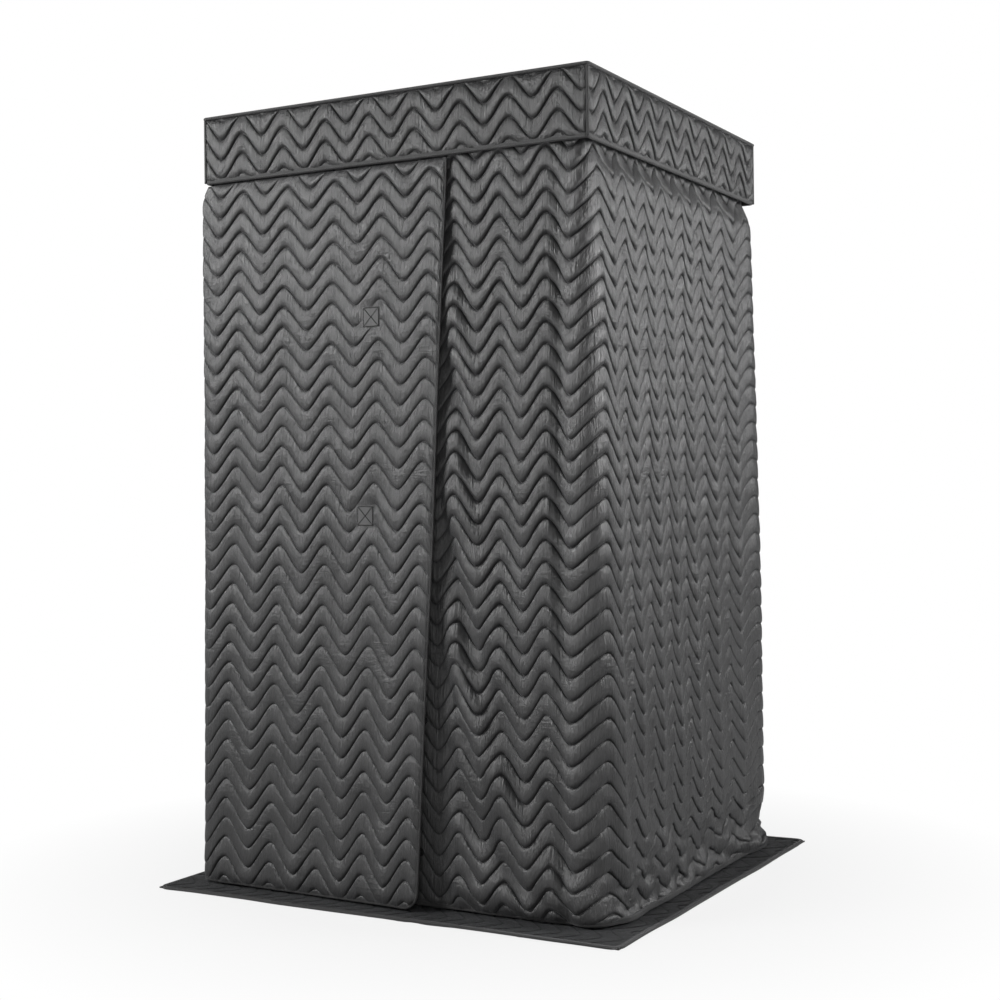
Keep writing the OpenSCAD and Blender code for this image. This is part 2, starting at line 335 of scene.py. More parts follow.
def build_sheet(name, sheet, material):
    *outer, outer_faces, outer_borders = trimmed_face(sheet, OUTER_LEVELS, False, 0)
    *inner, inner_faces, inner_borders = trimmed_face(sheet, sheet.inner_levels, True, len(outer[0]))
    points, cloth, seams = (np.concatenate(pair) for pair in zip(outer, inner))
    faces = outer_faces + inner_faces
    for side in "bt":
        a, b = outer_borders[side], inner_borders[side]
        faces += np.stack([a[:-1], a[1:], b[1:], b[:-1]], -1).tolist()
    for side in "lr":
        faces += zip_columns(outer_borders[side], inner_borders[side])
    return turn_outwards(make_object(name, points, faces, material, cloth, seams))


# ---- Cloth simulation


def spline_weights(value, lo, hi, count):
    """The four grid lines round each value, with their cubic B-spline weights."""
    x = np.clip((value - lo) / (hi - lo), 0, 1) * (count - 1)
    cell = np.minimum(np.floor(x).astype(int), count - 2)
    t = x - cell
    weights = ((1 - t) ** 3, 3 * t ** 3 - 6 * t ** 2 + 4, -3 * t ** 3 + 3 * t ** 2 + 3 * t + 1, t ** 3)
    return [(np.clip(cell + k - 1, 0, count - 1), weight / 6) for k, weight in enumerate(weights)]


class Settling:
    """Where cloth simulation moves a sheet: a coarse grid is simulated, and read back smoothly."""

    SETUP = {"quality": 5, "mass": 0.25, "tension_stiffness": 18, "compression_stiffness": 18,
             "shear_stiffness": 6, "bending_stiffness": 0.6, "tension_damping": 12,
             "compression_damping": 12, "shear_damping": 12, "air_damping": 3,
             "vertex_group_mass": "pin", "vertex_group_shrink": "slack"}
    GRAVITY = 0.6
    FRAMES = 24

    def __init__(self, columns, rows, most):
        self.columns, self.rows = columns, rows         # the grid's ends and its count, each way
        self.most = most                                # the furthest that a point may move
        self.moves = None

    def simulate(self, points_at, pin_at, slack_at, shrink):
        s, z = grid(np.linspace(*self.columns), np.linspace(*self.rows))
        rest = points_at(s, z)
        ids = np.arange(s.size).reshape(s.shape)
        cloth = make_object("settling", rest.reshape(-1, 3), grid_quads(ids).tolist())
        for name, weights in (("pin", pin_at(s, z)), ("slack", slack_at(s, z))):
            group = cloth.vertex_groups.new(name=name)
            for index, weight in enumerate(weights.ravel().tolist()):
                if weight > 0.001:
                    group.add([index], min(weight, 1.0), "REPLACE")
        modifier = cloth.modifiers.new("cloth", "CLOTH")
        for key, value in self.SETUP.items():
            setattr(modifier.settings, key, value)
        modifier.settings.shrink_min, modifier.settings.shrink_max = shrink
        modifier.settings.effector_weights.gravity = self.GRAVITY
        modifier.collision_settings.use_collision = False
        modifier.point_cache.frame_start, modifier.point_cache.frame_end = 1, self.FRAMES
        for number in range(1, self.FRAMES + 1):
            bpy.context.scene.frame_set(number)
        settled = cloth.evaluated_get(bpy.context.evaluated_depsgraph_get()).to_mesh()
        after = np.empty(s.size * 3, np.float32)
        settled.vertices.foreach_get("co", after)
        moves = after.reshape(*s.shape, 3) - rest
        size = np.linalg.norm(moves, axis=-1, keepdims=True)
        self.moves = unit(moves) * self.most * np.tanh(size / self.most)
        mesh = cloth.data
        bpy.data.objects.remove(cloth)
        bpy.data.meshes.remove(mesh)
        bpy.context.scene.frame_set(1)

    def at(self, s, z):
        """The move at each point, read through a cubic B-spline."""
        if self.moves is None:
            return 0.0
        total = 0.0
        rows = spline_weights(z, *self.rows)
        for i, along in spline_weights(s, *self.columns):
            for j, upward in rows:
                total = total + self.moves[i, j] * (along * upward)[..., None]
        return total


# ---- The walls: u is the distance along them from the fixed front panel's free edge, round the
# right, back and left sides to the door's hinge corner

CORNER_R = 38 * MM
STRAIGHT = WALL_OUT - CORNER_R                  # where a side's straight run ends, from the centre plane
ARC = CORNER_R * math.pi / 2
SIDE = 2 * STRAIGHT
FRONT_RUN = STRAIGHT - PANEL_EDGE
U_RIGHT = FRONT_RUN + ARC                       # where the right side starts
U_BACK = U_RIGHT + SIDE + ARC
U_LEFT = U_BACK + SIDE + ARC
U_FRONT_LEFT = U_LEFT + SIDE + ARC              # start of the short return behind the door
U_END = U_FRONT_LEFT + 20 * MM
SKIRT_TOP = 0.150                               # the foot spreads over the mat from this height


def facing(side):
    """A side's outward direction and the one along it: 0 is the front, and 1 the right side."""
    turn = side * math.pi / 2
    return np.array([math.sin(turn), -math.cos(turn), 0]), np.array([math.cos(turn), math.sin(turn), 0])


def square_path(u, straight, radius):
    """A rounded square seen from above: points and outward normals at a distance u along it, from
    the left end of its front."""
    side, arc = 2 * straight, radius * math.pi / 2
    quarter = np.clip(np.floor(u / (side + arc)), 0, 4)
    local = u - quarter * (side + arc)
    angle = np.clip(local - side, 0, arc) / radius
    x = np.minimum(local, side) - straight + radius * np.sin(angle)
    y = -straight - radius * np.cos(angle)
    c, s = np.cos(quarter * math.pi / 2), np.sin(quarter * math.pi / 2)
    angle = angle + quarter * math.pi / 2
    points = np.stack([x * c - y * s, x * s + y * c, np.zeros_like(x)], -1)
    return points, np.stack([np.sin(angle), -np.cos(angle), np.zeros_like(x)], -1)


def wall_path(u):
    return square_path(u + SIDE - FRONT_RUN, STRAIGHT, CORNER_R)


def spread_side(u):
    """1 on the three sides whose foot spreads over the mat, 0 on the front."""
    return smooth(u, U_RIGHT - ARC - 30 * MM, U_RIGHT + 60 * MM) * (
        1 - smooth(u, U_FRONT_LEFT - ARC - 20 * MM, U_FRONT_LEFT - ARC / 4))


def corner_distance(u):
    """Distance along the walls from the middle of the nearest corner."""
    lap = SIDE + ARC
    return np.abs((u - U_RIGHT + (ARC + lap) / 2) % lap - lap / 2)


def wall_drape(u, z):
    """How far the curtain hangs out from its plan: a lean, soft folds, and a crumpled, spread foot."""
    side = spread_side(u)
    below = np.clip(1 - z / HEM_Z, 0, 1)
    lean = side * 40 * MM * smooth(HEM_Z - z, -20 * MM, 70 * MM) + (1 + 5 * side) * MM * below
    free = smooth(HEM_Z - z, 0, 0.35)
    slack = smooth(corner_distance(u), 20 * MM, 160 * MM) * side
    folds = 7 * MM * noise(u / 0.19 + 0.35 * noise(z / 0.5, u / 0.9, 3), z / 0.95, 11) * slack
    folds += 2.4 * MM * noise(u / 0.075, z / 0.3, 12) * (0.35 + 0.65 * side)
    folds -= 6 * MM * near(u, FRONT_RUN - 22 * MM, 20 * MM)
    drop = np.clip((SKIRT_TOP - z) / (SKIRT_TOP - WALL_FOOT), 0, 1)
    flare = (SKIRT_OUT - WALL_OUT - 48 * MM) * drop ** 1.7
    crumple = 2.4 * MM * noise(u / 0.085, z / 0.045, 21)
    crumple += 4.6 * MM * ridges(u / 0.075 + z / 0.12, z / 0.05, 22)
    crumple += 4.0 * MM * ridges(u / 0.040 - z / 0.06, z / 0.033, 23)
    low_down = smooth(0.27 - z, 0, 0.15) * (0.25 + 0.75 * smooth(z, WALL_FOOT, WALL_FOOT + 35 * MM))
    return lean + folds * free + side * (flare + crumple * low_down)


wall_settling = Settling((0, U_END, 252), (WALL_HEM, WALL_TOP, 112), 20 * MM)


def wall_points(u, z):
    base, normal = wall_path(u)
    return base + normal * wall_drape(u, z)[..., None] + z[..., None] * Z + wall_settling.at(u, z)


def settle_walls():
    """The curtain is held at its top, its hem and its ends. Its foot has the most slack."""
    def held(u, z):
        top, hem = smooth(z, HEM_Z - 10 * MM, HEM_Z + 50 * MM), z < WALL_HEM + 5 * MM
        ends = np.maximum(1 - smooth(u, 0, 0.14), u > U_END - 10 * MM)
        return np.maximum(np.maximum(top, hem), ends)

    def slack(u, z):
        return (1 - smooth(z, 0.05, 0.24)) * (0.25 + 0.75 * spread_side(u))

    wall_settling.simulate(wall_points, held, slack, (-0.012, -0.09))


def side_waves(along):
    """Zigzags counted along one side wall. They crowd together in its front half."""
    return along * (8.0 + along * (2.1 - 3.0 * along))


def wall_phase(u):
    """Zigzag phase along the walls. It's uneven on the sides, where the curtain is gathered."""
    side = np.floor((u - U_RIGHT + ARC / 2) / (SIDE + ARC))
    along = u - U_RIGHT - side * (SIDE + ARC)
    even = side % 2 == 0
    count = side_waves(np.where(even, along, SIDE - along))
    first, last = side_waves(-ARC / 2), side_waves(SIDE + ARC / 2)
    waves = side * (last - first) + np.where(even, count - first, last - count)
    phase = np.where(side < 0, u / FRONT_PERIOD, (U_RIGHT - ARC / 2) / FRONT_PERIOD + waves)
    return phase + 0.22 + 0.02 * smooth(u, FRONT_RUN - 15 * MM, U_RIGHT)


class Wall(Sheet):
    puff = 10 * MM
    first_row = 19 * MM
    foot, top = WALL_HEM, WALL_TOP
    step = 7.9 * MM

    def __init__(self, start, end, flat_edges="b"):
        self.columns = np.linspace(start, end, round((end - start) / self.step) + 1)
        self.flat_edges = flat_edges

    def across(self, s, z):
        return s - self.columns[0]

    def wave(self, s, z):
        side = spread_side(s)
        loose = smooth(0.30 - z, 0, 0.2) * side
        wander = (2 + 6 * side) * noise(s / 0.33, z / 0.4, 31) + 1.2 * noise(s / 0.03, z / 0.06, 38)
        wander += 6 * noise(s / 0.11, z / 0.09, 32) * loose
        tall = 1.16 * (1 + 0.10 * noise(s / 0.5, z / 0.6, 33)) * (1 - 0.35 * loose)
        return AMPLITUDE * tall * zigzag(wall_phase(s), 0.78 + 0.17 * side) + wander * MM

    def place(self, s, z):
        return with_normals(wall_points, s, z)

    def relief(self, s, z):
        side, phase = spread_side(s), wall_phase(s)
        gathered = 0.6 + smooth(z, 0.18, 0.42) * (0.35 * tips(phase, 0.45, 0.9) - 0.25)
        corner = near(corner_distance(s), 0, 50 * MM) * smooth(s, U_RIGHT, U_RIGHT + 0.2)
        amount = (1 - side + side * gathered) * (1 - 0.5 * corner)
        amount = amount * (0.4 + 0.6 * smooth(s, 90 * MM, 130 * MM))
        return amount * (1 + 0.3 * noise(s / 0.09, z / 0.06, 34) - 0.1 * np.cos(4 * np.pi * phase))

    def detail(self, s, z):
        """Upright pulls at the tips, and pinches where the curtain turns its front corner."""
        pulls = 0.9 * MM * noise(s / 0.011, z / 0.055, 35)
        pinch = 1.6 * MM * noise(s / 0.05, z / 0.009, 36) * smooth(noise(s / 0.12, z / 0.07, 37), 0.0, 0.5)
        at_corner = near(s, FRONT_RUN - 10 * MM, 45 * MM)
        tipped = np.abs(zigzag(wall_phase(s), 0.9)) ** 3
        return pulls * (0.35 + 0.65 * tipped) + pinch * (0.3 + 0.7 * at_corner)

    def seam_and_shade_fade(self, s, z):
        # Widens the seam distance, fading the thread and the painted crease shade: on the side walls' legs,
        # and unevenly on the front.
        phase, side = wall_phase(s), spread_side(s)
        legs = (1 - tips(phase, 0.45, 0.85)) * smooth(z, 0.12, 0.40) * MM
        return side * legs + (1 - side) * uneven_seam(phase, s, z, 39)


# ---- Materials


class Graph:
    """A short way to write the nodes of a material or a world."""

    def __init__(self, owner):
        owner.use_nodes = True
        self.owner = owner
        self.nodes, self.links = owner.node_tree.nodes, owner.node_tree.links
        self.nodes.clear()

    def put(self, socket, value):
        """Links or sets an input. One number for a colour is a grey."""
        if isinstance(value, bpy.types.NodeSocket):
            self.links.new(value, socket)
        elif socket.type == "RGBA":
            socket.default_value = (*(value if isinstance(value, tuple) else (value,) * 3), 1)
        else:
            socket.default_value = value

    def add(self, kind, inputs, output=0, **settings):
        node = self.nodes.new("ShaderNode" + kind)
        for key, value in settings.items():
            setattr(node, key, value)
        for key, value in inputs.items():
            self.put(node.inputs[key], value)
        return node.outputs[output]

    def plus(self, total, *terms):
        for term in terms:
            total = self.add("Math", {0: total, 1: term}, operation="ADD")
        return total

    def times(self, total, *factors):
        for factor in factors:
            total = self.add("Math", {0: total, 1: factor}, operation="MULTIPLY")
        return total

    def uv(self):
        return self.add("UVMap", {}, uv_map="cloth")

    def place(self):
        return self.add("TexCoord", {}, output=3)

    def scaled(self, vector, scale):
        return self.add("Mapping", {"Vector": vector, "Scale": scale})

    def noise(self, vector, scale, detail=3.0, roughness=0.55, distortion=0.0):
        return self.add("TexNoise", {"Vector": vector, "Scale": scale, "Detail": detail,
                                     "Roughness": roughness, "Distortion": distortion})

    def wave(self, vector, scale, direction, distortion=0.0):
        inputs = {"Vector": vector, "Scale": scale, "Distortion": distortion}
        return self.add("TexWave", inputs, output=1, bands_direction=direction)

    def blend(self, factor, a, b):
        return self.add("Mix", {6: a, 7: b, 0: factor}, output=2, data_type="RGBA")

    def ramp(self, value, lo, hi, out_lo=0.0, out_hi=1.0):
        return self.add("MapRange", {"Value": value, "From Min": lo, "From Max": hi,
                                     "To Min": out_lo, "To Max": out_hi})

    def bump(self, height, strength, distance):
        return self.add("Bump", {"Height": height, "Strength": strength, "Distance": distance})

    def surface(self, kind, shader):
        self.links.new(shader, self.nodes.new("ShaderNode" + kind).inputs["Surface"])

    def finish(self, inputs):
        """Ends a material in one principled shader."""
        self.surface("OutputMaterial", self.add("BsdfPrincipled", inputs))
        return self.owner


def quilt_material(name, tone=0.023, gloss=1.0):
    """Black satin: a fine weave, upright pull lines, crimps, lint, slow changes of tone, and thread
    along the stitch lines, with painted shade in the creases beside them, where the cloth is drawn in."""
    matt = 0.25 * (1 - gloss)
    g = Graph(bpy.data.materials.new(name))
    uv = g.uv()
    seam = g.add("Attribute", {}, output=2, attribute_name="seam")
    streaks = g.noise(g.scaled(uv, (1, 0.06, 1)), 150, 4, 0.75)
    patches = g.noise(g.scaled(uv, (1, 0.4, 1)), 32)
    crimps = g.noise(g.scaled(uv, (0.22, 1, 1)), 110, 3, 0.6, 0.4)
    crimped = g.ramp(g.noise(uv, 9, 2), 0.5, 0.68)
    weave = g.times(g.wave(uv, 500, "X", 0.4), g.wave(uv, 430, "Y", 0.4))
    lint = g.ramp(g.noise(uv, 900, 2, 0.7), 0.72, 0.8)
    thread = g.ramp(seam, 0.0006, 0.0019, 1.0, 0.0)
    # Painted shade: the colour darkens within a few millimetres of each stitch line, standing in for the
    # shade in the crease.
    painted_crease_shade = g.ramp(seam, 0.0008, 0.0036, 0.55, 0.0)
    bright = g.plus(g.times(g.noise(uv, 5), 0.3), g.times(streaks, 0.7), g.times(patches, 0.2))
    base = g.blend(g.ramp(bright, 0.35, 0.85), tone * 0.78, (tone * 1.26, tone * 1.26, tone * 1.3))
    base = g.blend(g.times(lint, 0.15), base, 0.3)
    # The darker of the real dark thread and the painted crease shade.
    thread_and_painted_shade = g.add("Math", {0: painted_crease_shade, 1: g.times(thread, 0.85)}, operation="MAXIMUM")
    height = g.plus(g.times(weave, 0.12), g.times(streaks, 6.0), g.times(patches, 0.8),
                    g.times(thread, g.wave(uv, 90, "X"), 0.5), g.times(crimps, crimped, 4.0))
    return g.finish({"Base Color": g.blend(thread_and_painted_shade, base, tone * 0.12),
                     "Roughness": g.ramp(g.plus(streaks, patches), 0.6, 1.4, 0.31 + matt, 0.46 + matt),
                     "Specular IOR Level": g.ramp(seam, 0.001, 0.005, 0.22 * gloss, 0.6 * gloss),
                     "Sheen Weight": 0.10, "Sheen Roughness": 0.38, "Sheen Tint": (0.75, 0.77, 0.8),
                     "Normal": g.bump(height, 0.7, 0.0011)})


def tape_material(name, tone, rib=620):
    """Woven tape or thread: ribs across its length, a grain and slow changes of tone."""
    g = Graph(bpy.data.materials.new(name))
    uv = g.uv()
    ribs = g.wave(uv, rib, "X", 0.15)
    grain = g.noise(uv, 700, 3, 0.7)
    base = g.blend(g.ramp(g.noise(uv, 9, 2), 0.3, 0.7), tone * 0.75, tone * 1.3)
    height = g.plus(g.times(ribs, 0.6), g.times(grain, 0.5))
    return g.finish({"Base Color": g.blend(g.times(ribs, 0.25), base, tone * 1.7),
                     "Roughness": g.ramp(grain, 0.3, 0.7, 0.5, 0.68), "Specular IOR Level": 0.4,
                     "Sheen Weight": 0.2, "Sheen Roughness": 0.45, "Sheen Tint": (0.7, 0.7, 0.72),
                     "Normal": g.bump(height, 0.5, 0.0005)})


def touch_tape_material():
    """A pile of small loops in clumps."""
    g = Graph(bpy.data.materials.new("touch_tape"))
    loops = g.noise(g.place(), 1500, 3, 0.8)
    height = g.plus(loops, g.times(g.noise(g.place(), 160, 3, 0.6), 0.6))
    return g.finish({"Base Color": g.blend(loops, 0.012, 0.045), "Roughness": 0.85,
                     "Specular IOR Level": 0.2, "Sheen Weight": 0.5, "Sheen Roughness": 0.6,
                     "Normal": g.bump(height, 0.9, 0.0012)})


def powder_coat_material():
    """Light grey coating with a fine orange peel and a few scuffs."""
    g = Graph(bpy.data.materials.new("powder_coat"))
    scuffs = g.noise(g.scaled(g.place(), (1, 1, 0.2)), 60, 4, 0.7)
    base = g.blend(g.noise(g.place(), 6, 2), (0.62, 0.63, 0.65), (0.7, 0.71, 0.72))
    worn = g.times(g.ramp(scuffs, 0.66, 0.74), 0.5)
    return g.finish({"Base Color": g.blend(worn, base, (0.4, 0.4, 0.41)), "Specular IOR Level": 0.55,
                     "Roughness": g.ramp(scuffs, 0.3, 0.8, 0.3, 0.48),
                     "Coat Weight": 0.15, "Coat Roughness": 0.25,
                     "Normal": g.bump(g.noise(g.place(), 900, 2, 0.5), 0.25, 0.0004)})


def moulded_material():
    """Black moulded nylon with flow marks."""
    g = Graph(bpy.data.materials.new("moulded_nylon"))
    flow = g.noise(g.place(), 40, 3, 0.6)
    return g.finish({"Base Color": g.blend(flow, 0.024, 0.039), "Specular IOR Level": 0.5,
                     "Roughness": g.ramp(flow, 0.3, 0.7, 0.42, 0.58),
                     "Normal": g.bump(g.noise(g.place(), 1400, 3, 0.6), 0.4, 0.0004)})


def rubber_material():
    """Black rubber with some dust on it."""
    g = Graph(bpy.data.materials.new("rubber"))
    dust = g.times(g.ramp(g.noise(g.place(), 70, 4, 0.7), 0.5, 0.75), 0.4)
    return g.finish({"Base Color": g.blend(dust, 0.02, (0.07, 0.068, 0.065)), "Roughness": 0.75,
                     "Specular IOR Level": 0.35,
                     "Normal": g.bump(g.noise(g.place(), 500, 4, 0.7), 0.4, 0.0006)})


def nickel_material():
    """Brushed plating."""
    g = Graph(bpy.data.materials.new("nickel"))
    brush = g.noise(g.scaled(g.place(), (1, 1, 14)), 500, 3, 0.6)
    base = g.blend(g.noise(g.place(), 90), (0.55, 0.56, 0.57), (0.72, 0.72, 0.73))
    return g.finish({"Base Color": base, "Roughness": g.ramp(brush, 0.3, 0.7, 0.2, 0.34), "Metallic": 1.0,
                     "Normal": g.bump(brush, 0.15, 0.0002)})


QUILT = quilt_material("quilted_satin")
COVER_QUILT = quilt_material("quilted_cover", 0.009)
ROOF_QUILT = quilt_material("quilted_roof", 0.02, 0.3)
MAT_QUILT = quilt_material("quilted_mat", 0.006)
PATCH = tape_material("patch_cloth", 0.07, 900)
BINDING = tape_material("binding_tape", 0.017)
WEBBING = tape_material("ribbed_webbing", 0.035, 380)
THREAD = tape_material("thread", 0.05, 1500)
DARK_THREAD = tape_material("dark_thread", 0.006, 1500)
TOUCH_TAPE = touch_tape_material()

# ---- Tapes, cords and thread


def run_lengths(path):
    return np.concatenate([[0], np.cumsum(np.linalg.norm(np.diff(path, axis=0), axis=1))])


def resample(path, spacing):
    """Points at even distances along a path."""
    path = np.asarray(path, float)
    along = run_lengths(path)
    at = np.linspace(0, along[-1], max(2, int(along[-1] / spacing)) + 1)
    return np.stack([np.interp(at, along, path[:, k]) for k in range(3)], -1)


def looped(line):
    return np.concatenate([line, line[:1]])


def rounded_section(width, height, radius, steps=3):
    """A rounded rectangle centred on the origin."""
    angle = np.concatenate([np.linspace(0, np.pi / 2, steps + 1) + k * np.pi / 2 for k in range(4)])
    corners = np.repeat([(1, 1), (-1, 1), (-1, -1), (1, -1)], steps + 1, axis=0)
    centres = corners * (width / 2 - radius, height / 2 - radius)
    return centres + radius * np.stack([np.cos(angle), np.sin(angle)], -1)


def round_section(radius, count=12):
    angle = np.arange(count) * 2 * np.pi / count
    return radius * np.stack([np.cos(angle), np.sin(angle)], -1)


def sweep(name, path, side, up, section, material, closed=False):
    """A strip along a path. Side and up are the section's axes, at each point or for the whole path."""
    side, up = np.broadcast_to(side, path.shape), np.broadcast_to(up, path.shape)
    rings = path[:, None] + side[:, None] * section[:, :1] + up[:, None] * section[:, 1:]
    cloth = np.stack(grid(run_lengths(path), run_lengths(section)), -1)
    ids = np.arange(len(path) * len(section)).reshape(len(path), -1)
    ids = np.concatenate([ids, ids[:, :1]], axis=1)
    if closed:
        faces = grid_quads(looped(ids)).tolist()
    else:
        faces = grid_quads(ids).tolist() + [ids[0, :-1].tolist(), ids[-1, :0:-1].tolist()]
    return turn_outwards(make_object(name, rings.reshape(-1, 3), faces, material, cloth.reshape(-1, 2)))


def slab(name, front, back, cloth, material):
    """A thin closed plate between two grids of points."""
    ids = np.arange(front[..., 0].size).reshape(front.shape[:2])
    rim = np.concatenate([ids[:, 0], ids[-1, 1:], ids[-2::-1, -1], ids[0, -2:0:-1]])
    after = np.roll(rim, -1)
    sides = np.stack([rim, after, after + ids.size, rim + ids.size], -1)
    quads = grid_quads(ids)
    faces = np.concatenate([quads, quads + ids.size, sides]).tolist()
    points = np.concatenate([front.reshape(-1, 3), back.reshape(-1, 3)])
    return turn_outwards(make_object(name, points, faces, material, np.tile(cloth.reshape(-1, 2), (2, 1))))


def stitches(name, lines, material=THREAD, spacing=4.4 * MM, radius=0.5 * MM):
    """Thread: one small bead for each stitch along each line."""
    marks = [resample(line, spacing) for line in lines]
    start = np.concatenate([mark[:-1] for mark in marks])
    step = np.concatenate([np.diff(mark, axis=0) for mark in marks])
    number = np.concatenate([np.arange(len(mark) - 1) for mark in marks])
    axis = unit(step)
    side = unit(np.cross(axis, np.where(np.abs(axis[:, 2:]) > 0.8, X, Z)))
    up = np.cross(side, axis)
    round_it = radius * np.stack([side, up, -side, -up], 1)
    ends, shoulders = (0.12, 0.88), (0.272, 0.728)          # shares of the way to the next stitch
    tip, waist, waist_2, tip_2 = ((start + step * share)[:, None] for share in sorted(ends + shoulders))
    beads = np.concatenate([tip, waist + round_it, waist_2 + round_it, tip_2], 1)
    faces = []
    for base in range(0, 10 * len(beads), 10):
        for j, n in ((0, 1), (1, 2), (2, 3), (3, 0)):
            faces.append([base, base + 1 + n, base + 1 + j])
            faces.append([base + 1 + j, base + 1 + n, base + 5 + n, base + 5 + j])
            faces.append([base + 9, base + 5 + j, base + 5 + n])
    cloth = np.stack([np.repeat(number * spacing, 10), np.zeros(10 * len(beads))], -1)
    return make_object(name, beads.reshape(-1, 3), faces, material, cloth)


def box_and_cross(centre_x, centre_z, half_width, half_height, spacing):
    """Lines of stitching in the plane of the door: a box and its two diagonals."""
    a, b, c, d = ((centre_x + half_width * i, 0, centre_z + half_height * j)
                  for i, j in ((-1, -1), (1, -1), (1, 1), (-1, 1)))
    return [resample(line, spacing) for line in ((a, b, c, d, a), (a, c), (b, d))]


def edge_tape(name, border, width, thick):
    """A folded tape over a sheet's edge: it wraps both faces and stands a little past the edge."""
    points, away, normal = border
    centre = points - away * (width / 2 - 3 * MM) - normal * (STITCHED_T / 2)
    return sweep(name, centre, away, normal, rounded_section(width, thick, 0.42 * thick), BINDING)


def edge_thread(name, border, insets, height, radius=0.5 * MM):
    """Lines of stitches along an edge tape, set in from the edge."""
    points, away, normal = border
    return stitches(name, [points - away * inset + normal * height for inset in insets], radius=radius)


# ---- The curtain


def wall_border(u, z, inward):
    """Points along one of the curtain's edges, the directions away from the cloth, and the normals."""
    u, z = np.broadcast_arrays(u, z)
    here, normal = with_normals(wall_points, u, z)
    away = here - with_normals(wall_points, u + inward[0], z + inward[1])[0]
    return here, unit(away - normal * np.sum(away * normal, axis=-1, keepdims=True)), normal


def curtain():
    """Three sheets that meet at the corners, their hem and the bound edge beside the door."""
    sheets = (("wall_front_right", 0, U_BACK - ARC / 2, "lb", ["wall_curtain"]),
              ("wall_back", U_BACK - ARC / 2, U_LEFT - ARC / 2, "b", []),
              ("wall_left", U_LEFT - ARC / 2, U_END, "rb", []))
    for name, start, end, flat_edges, nodes in sheets:
        fit(build_sheet(name, Wall(start, end, flat_edges), QUILT), "booth", "quilted_fabric", *nodes)
    width, thick = 15 * MM, 7 * MM
    hem = wall_border(np.linspace(0, U_END, int(U_END / (9 * MM))), WALL_HEM, (0, 4 * MM))
    fit(edge_tape("wall_hem_tape", hem, width, thick), "booth", "edge_binding", "wall_hem_binding")
    thread = edge_thread("wall_hem_thread", hem, (2 * MM, 8 * MM), (thick - STITCHED_T) / 2 + 0.2 * MM)
    fit(thread, "booth", "edge_binding")
    edge = wall_border(0.0, np.linspace(WALL_HEM, WALL_TOP, 220), (4 * MM, 0))
    fit(edge_tape("front_panel_tape", edge, width, thick), "booth", "edge_binding", "front_edge_binding")


settle_walls()
curtain()

# ---- The door: s is the share of the way from its hinge side to its free edge

DOOR_SLANT = 80 * MM                # how far the free edge slants over the door's height
ZIGZAG_LEAN = 69 * MM               # how far the zigzag columns lean over it
ZIGZAG_START = 433 * MM             # places a zigzag's tip along the door's top
DOOR_CORNER_R = 40 * MM
WRAP_R = 16 * MM                    # the hinge side turns back round the corner with this radius,
WRAP_TURN = math.radians(115)       # through this angle,
WRAP_RUN = 30 * MM                  # and runs on to meet the side wall
STRAP_W = 38 * MM
STRAP_SEWN = 42 * MM
PATCH_W, PATCH_H = 48 * MM, 50 * MM


def strap_x(z):
    """The pull strap's middle. It slants like the free edge."""
    return np.interp(z, (strap_lo[2], strap_hi[2]), (strap_lo[0] + STRAP_W / 2, strap_hi[0] - STRAP_W / 2))


PATCHES = [(strap_x(z), z) for z in (strap_lo[2] + STRAP_SEWN / 2, strap_hi[2] - STRAP_SEWN / 2)]


def door_drop(z):
    """0 at the door's top and 1 at its foot."""
    return (DOOR_TOP - z) / DOOR_SPAN


def door_free(z):
    """The door's free edge. It hangs slantwise, as in the CAD outline, with a slow wander."""
    drop = door_drop(z)
    wander = 3 * MM * noise(z / 0.45, 0.5, 41) * np.sin(np.pi * np.clip(drop, 0, 1))
    return DOOR_FREE - DOOR_SLANT * drop + wander


def door_bend(z):
    """Where the cloth starts to turn back round the hinge corner."""
    below = DOOR_TOP - z
    bulge = 27 * MM * smooth(below, -40 * MM, 50 * MM) + 3 * MM * door_drop(z)
    return DOOR_LEFT - bulge - 1.5 * MM * noise(below / 0.2, 0.5, 50) + WRAP_R


def door_left(z):
    """Where the cloth starts, laid flat."""
    return door_bend(z) - WRAP_R * WRAP_TURN - WRAP_RUN


def door_x(s, z):
    return door_left(z) + (door_free(z) - door_left(z)) * s


def door_share(x, z):
    return (x - door_left(z)) / (door_free(z) - door_left(z))


def door_phase(s, z):
    along = door_x(s, z) + ZIGZAG_LEAN * door_drop(z) + ZIGZAG_START
    return along / PERIOD + 0.25 + 0.05 * noise(s * 3, z / 0.5, 42)


def door_drape(s, z):
    """How far the door stands out: a slow belly, a lifted free edge, a few soft folds and a kicked foot."""
    drop, along = door_drop(z), np.clip(s, 0, 1)
    hung = np.clip(drop, 0, 1)
    belly = 5 * MM * np.sin(np.pi * hung) * np.sin(np.pi * along)
    lift = 7 * MM * smooth(s, 0.82, 1.0) * smooth(drop, 0.02, 0.35)
    folds = 2.6 * MM * noise(s * 3.6 + 0.4 * drop, z / 0.8, 43) + 1.3 * MM * noise(s * 9, z / 0.33, 44)
    kick = (14 + 17 * along) * MM * hung ** 2.2
    return belly + lift + kick + smooth(s, 0.08, 0.2) * (folds * smooth(drop, 0, 0.12) + 5 * MM * drop)


door_settling = Settling((0, 1, 44), (DOOR_FOOT, DOOR_TOP, 100), 9 * MM)


def door_points(s, z):
    x = door_x(s, z)
    turned = np.clip(door_bend(z) - x, 0, None)
    angle = np.minimum(turned / WRAP_R, WRAP_TURN)
    run = turned - angle * WRAP_R
    across = x + turned - WRAP_R * np.sin(angle) - run * np.cos(angle)
    back = WRAP_R * (1 - np.cos(angle)) + run * np.sin(angle)
    return np.stack([across, back - DOOR_OUT - door_drape(s, z), z], -1) + door_settling.at(s, z)


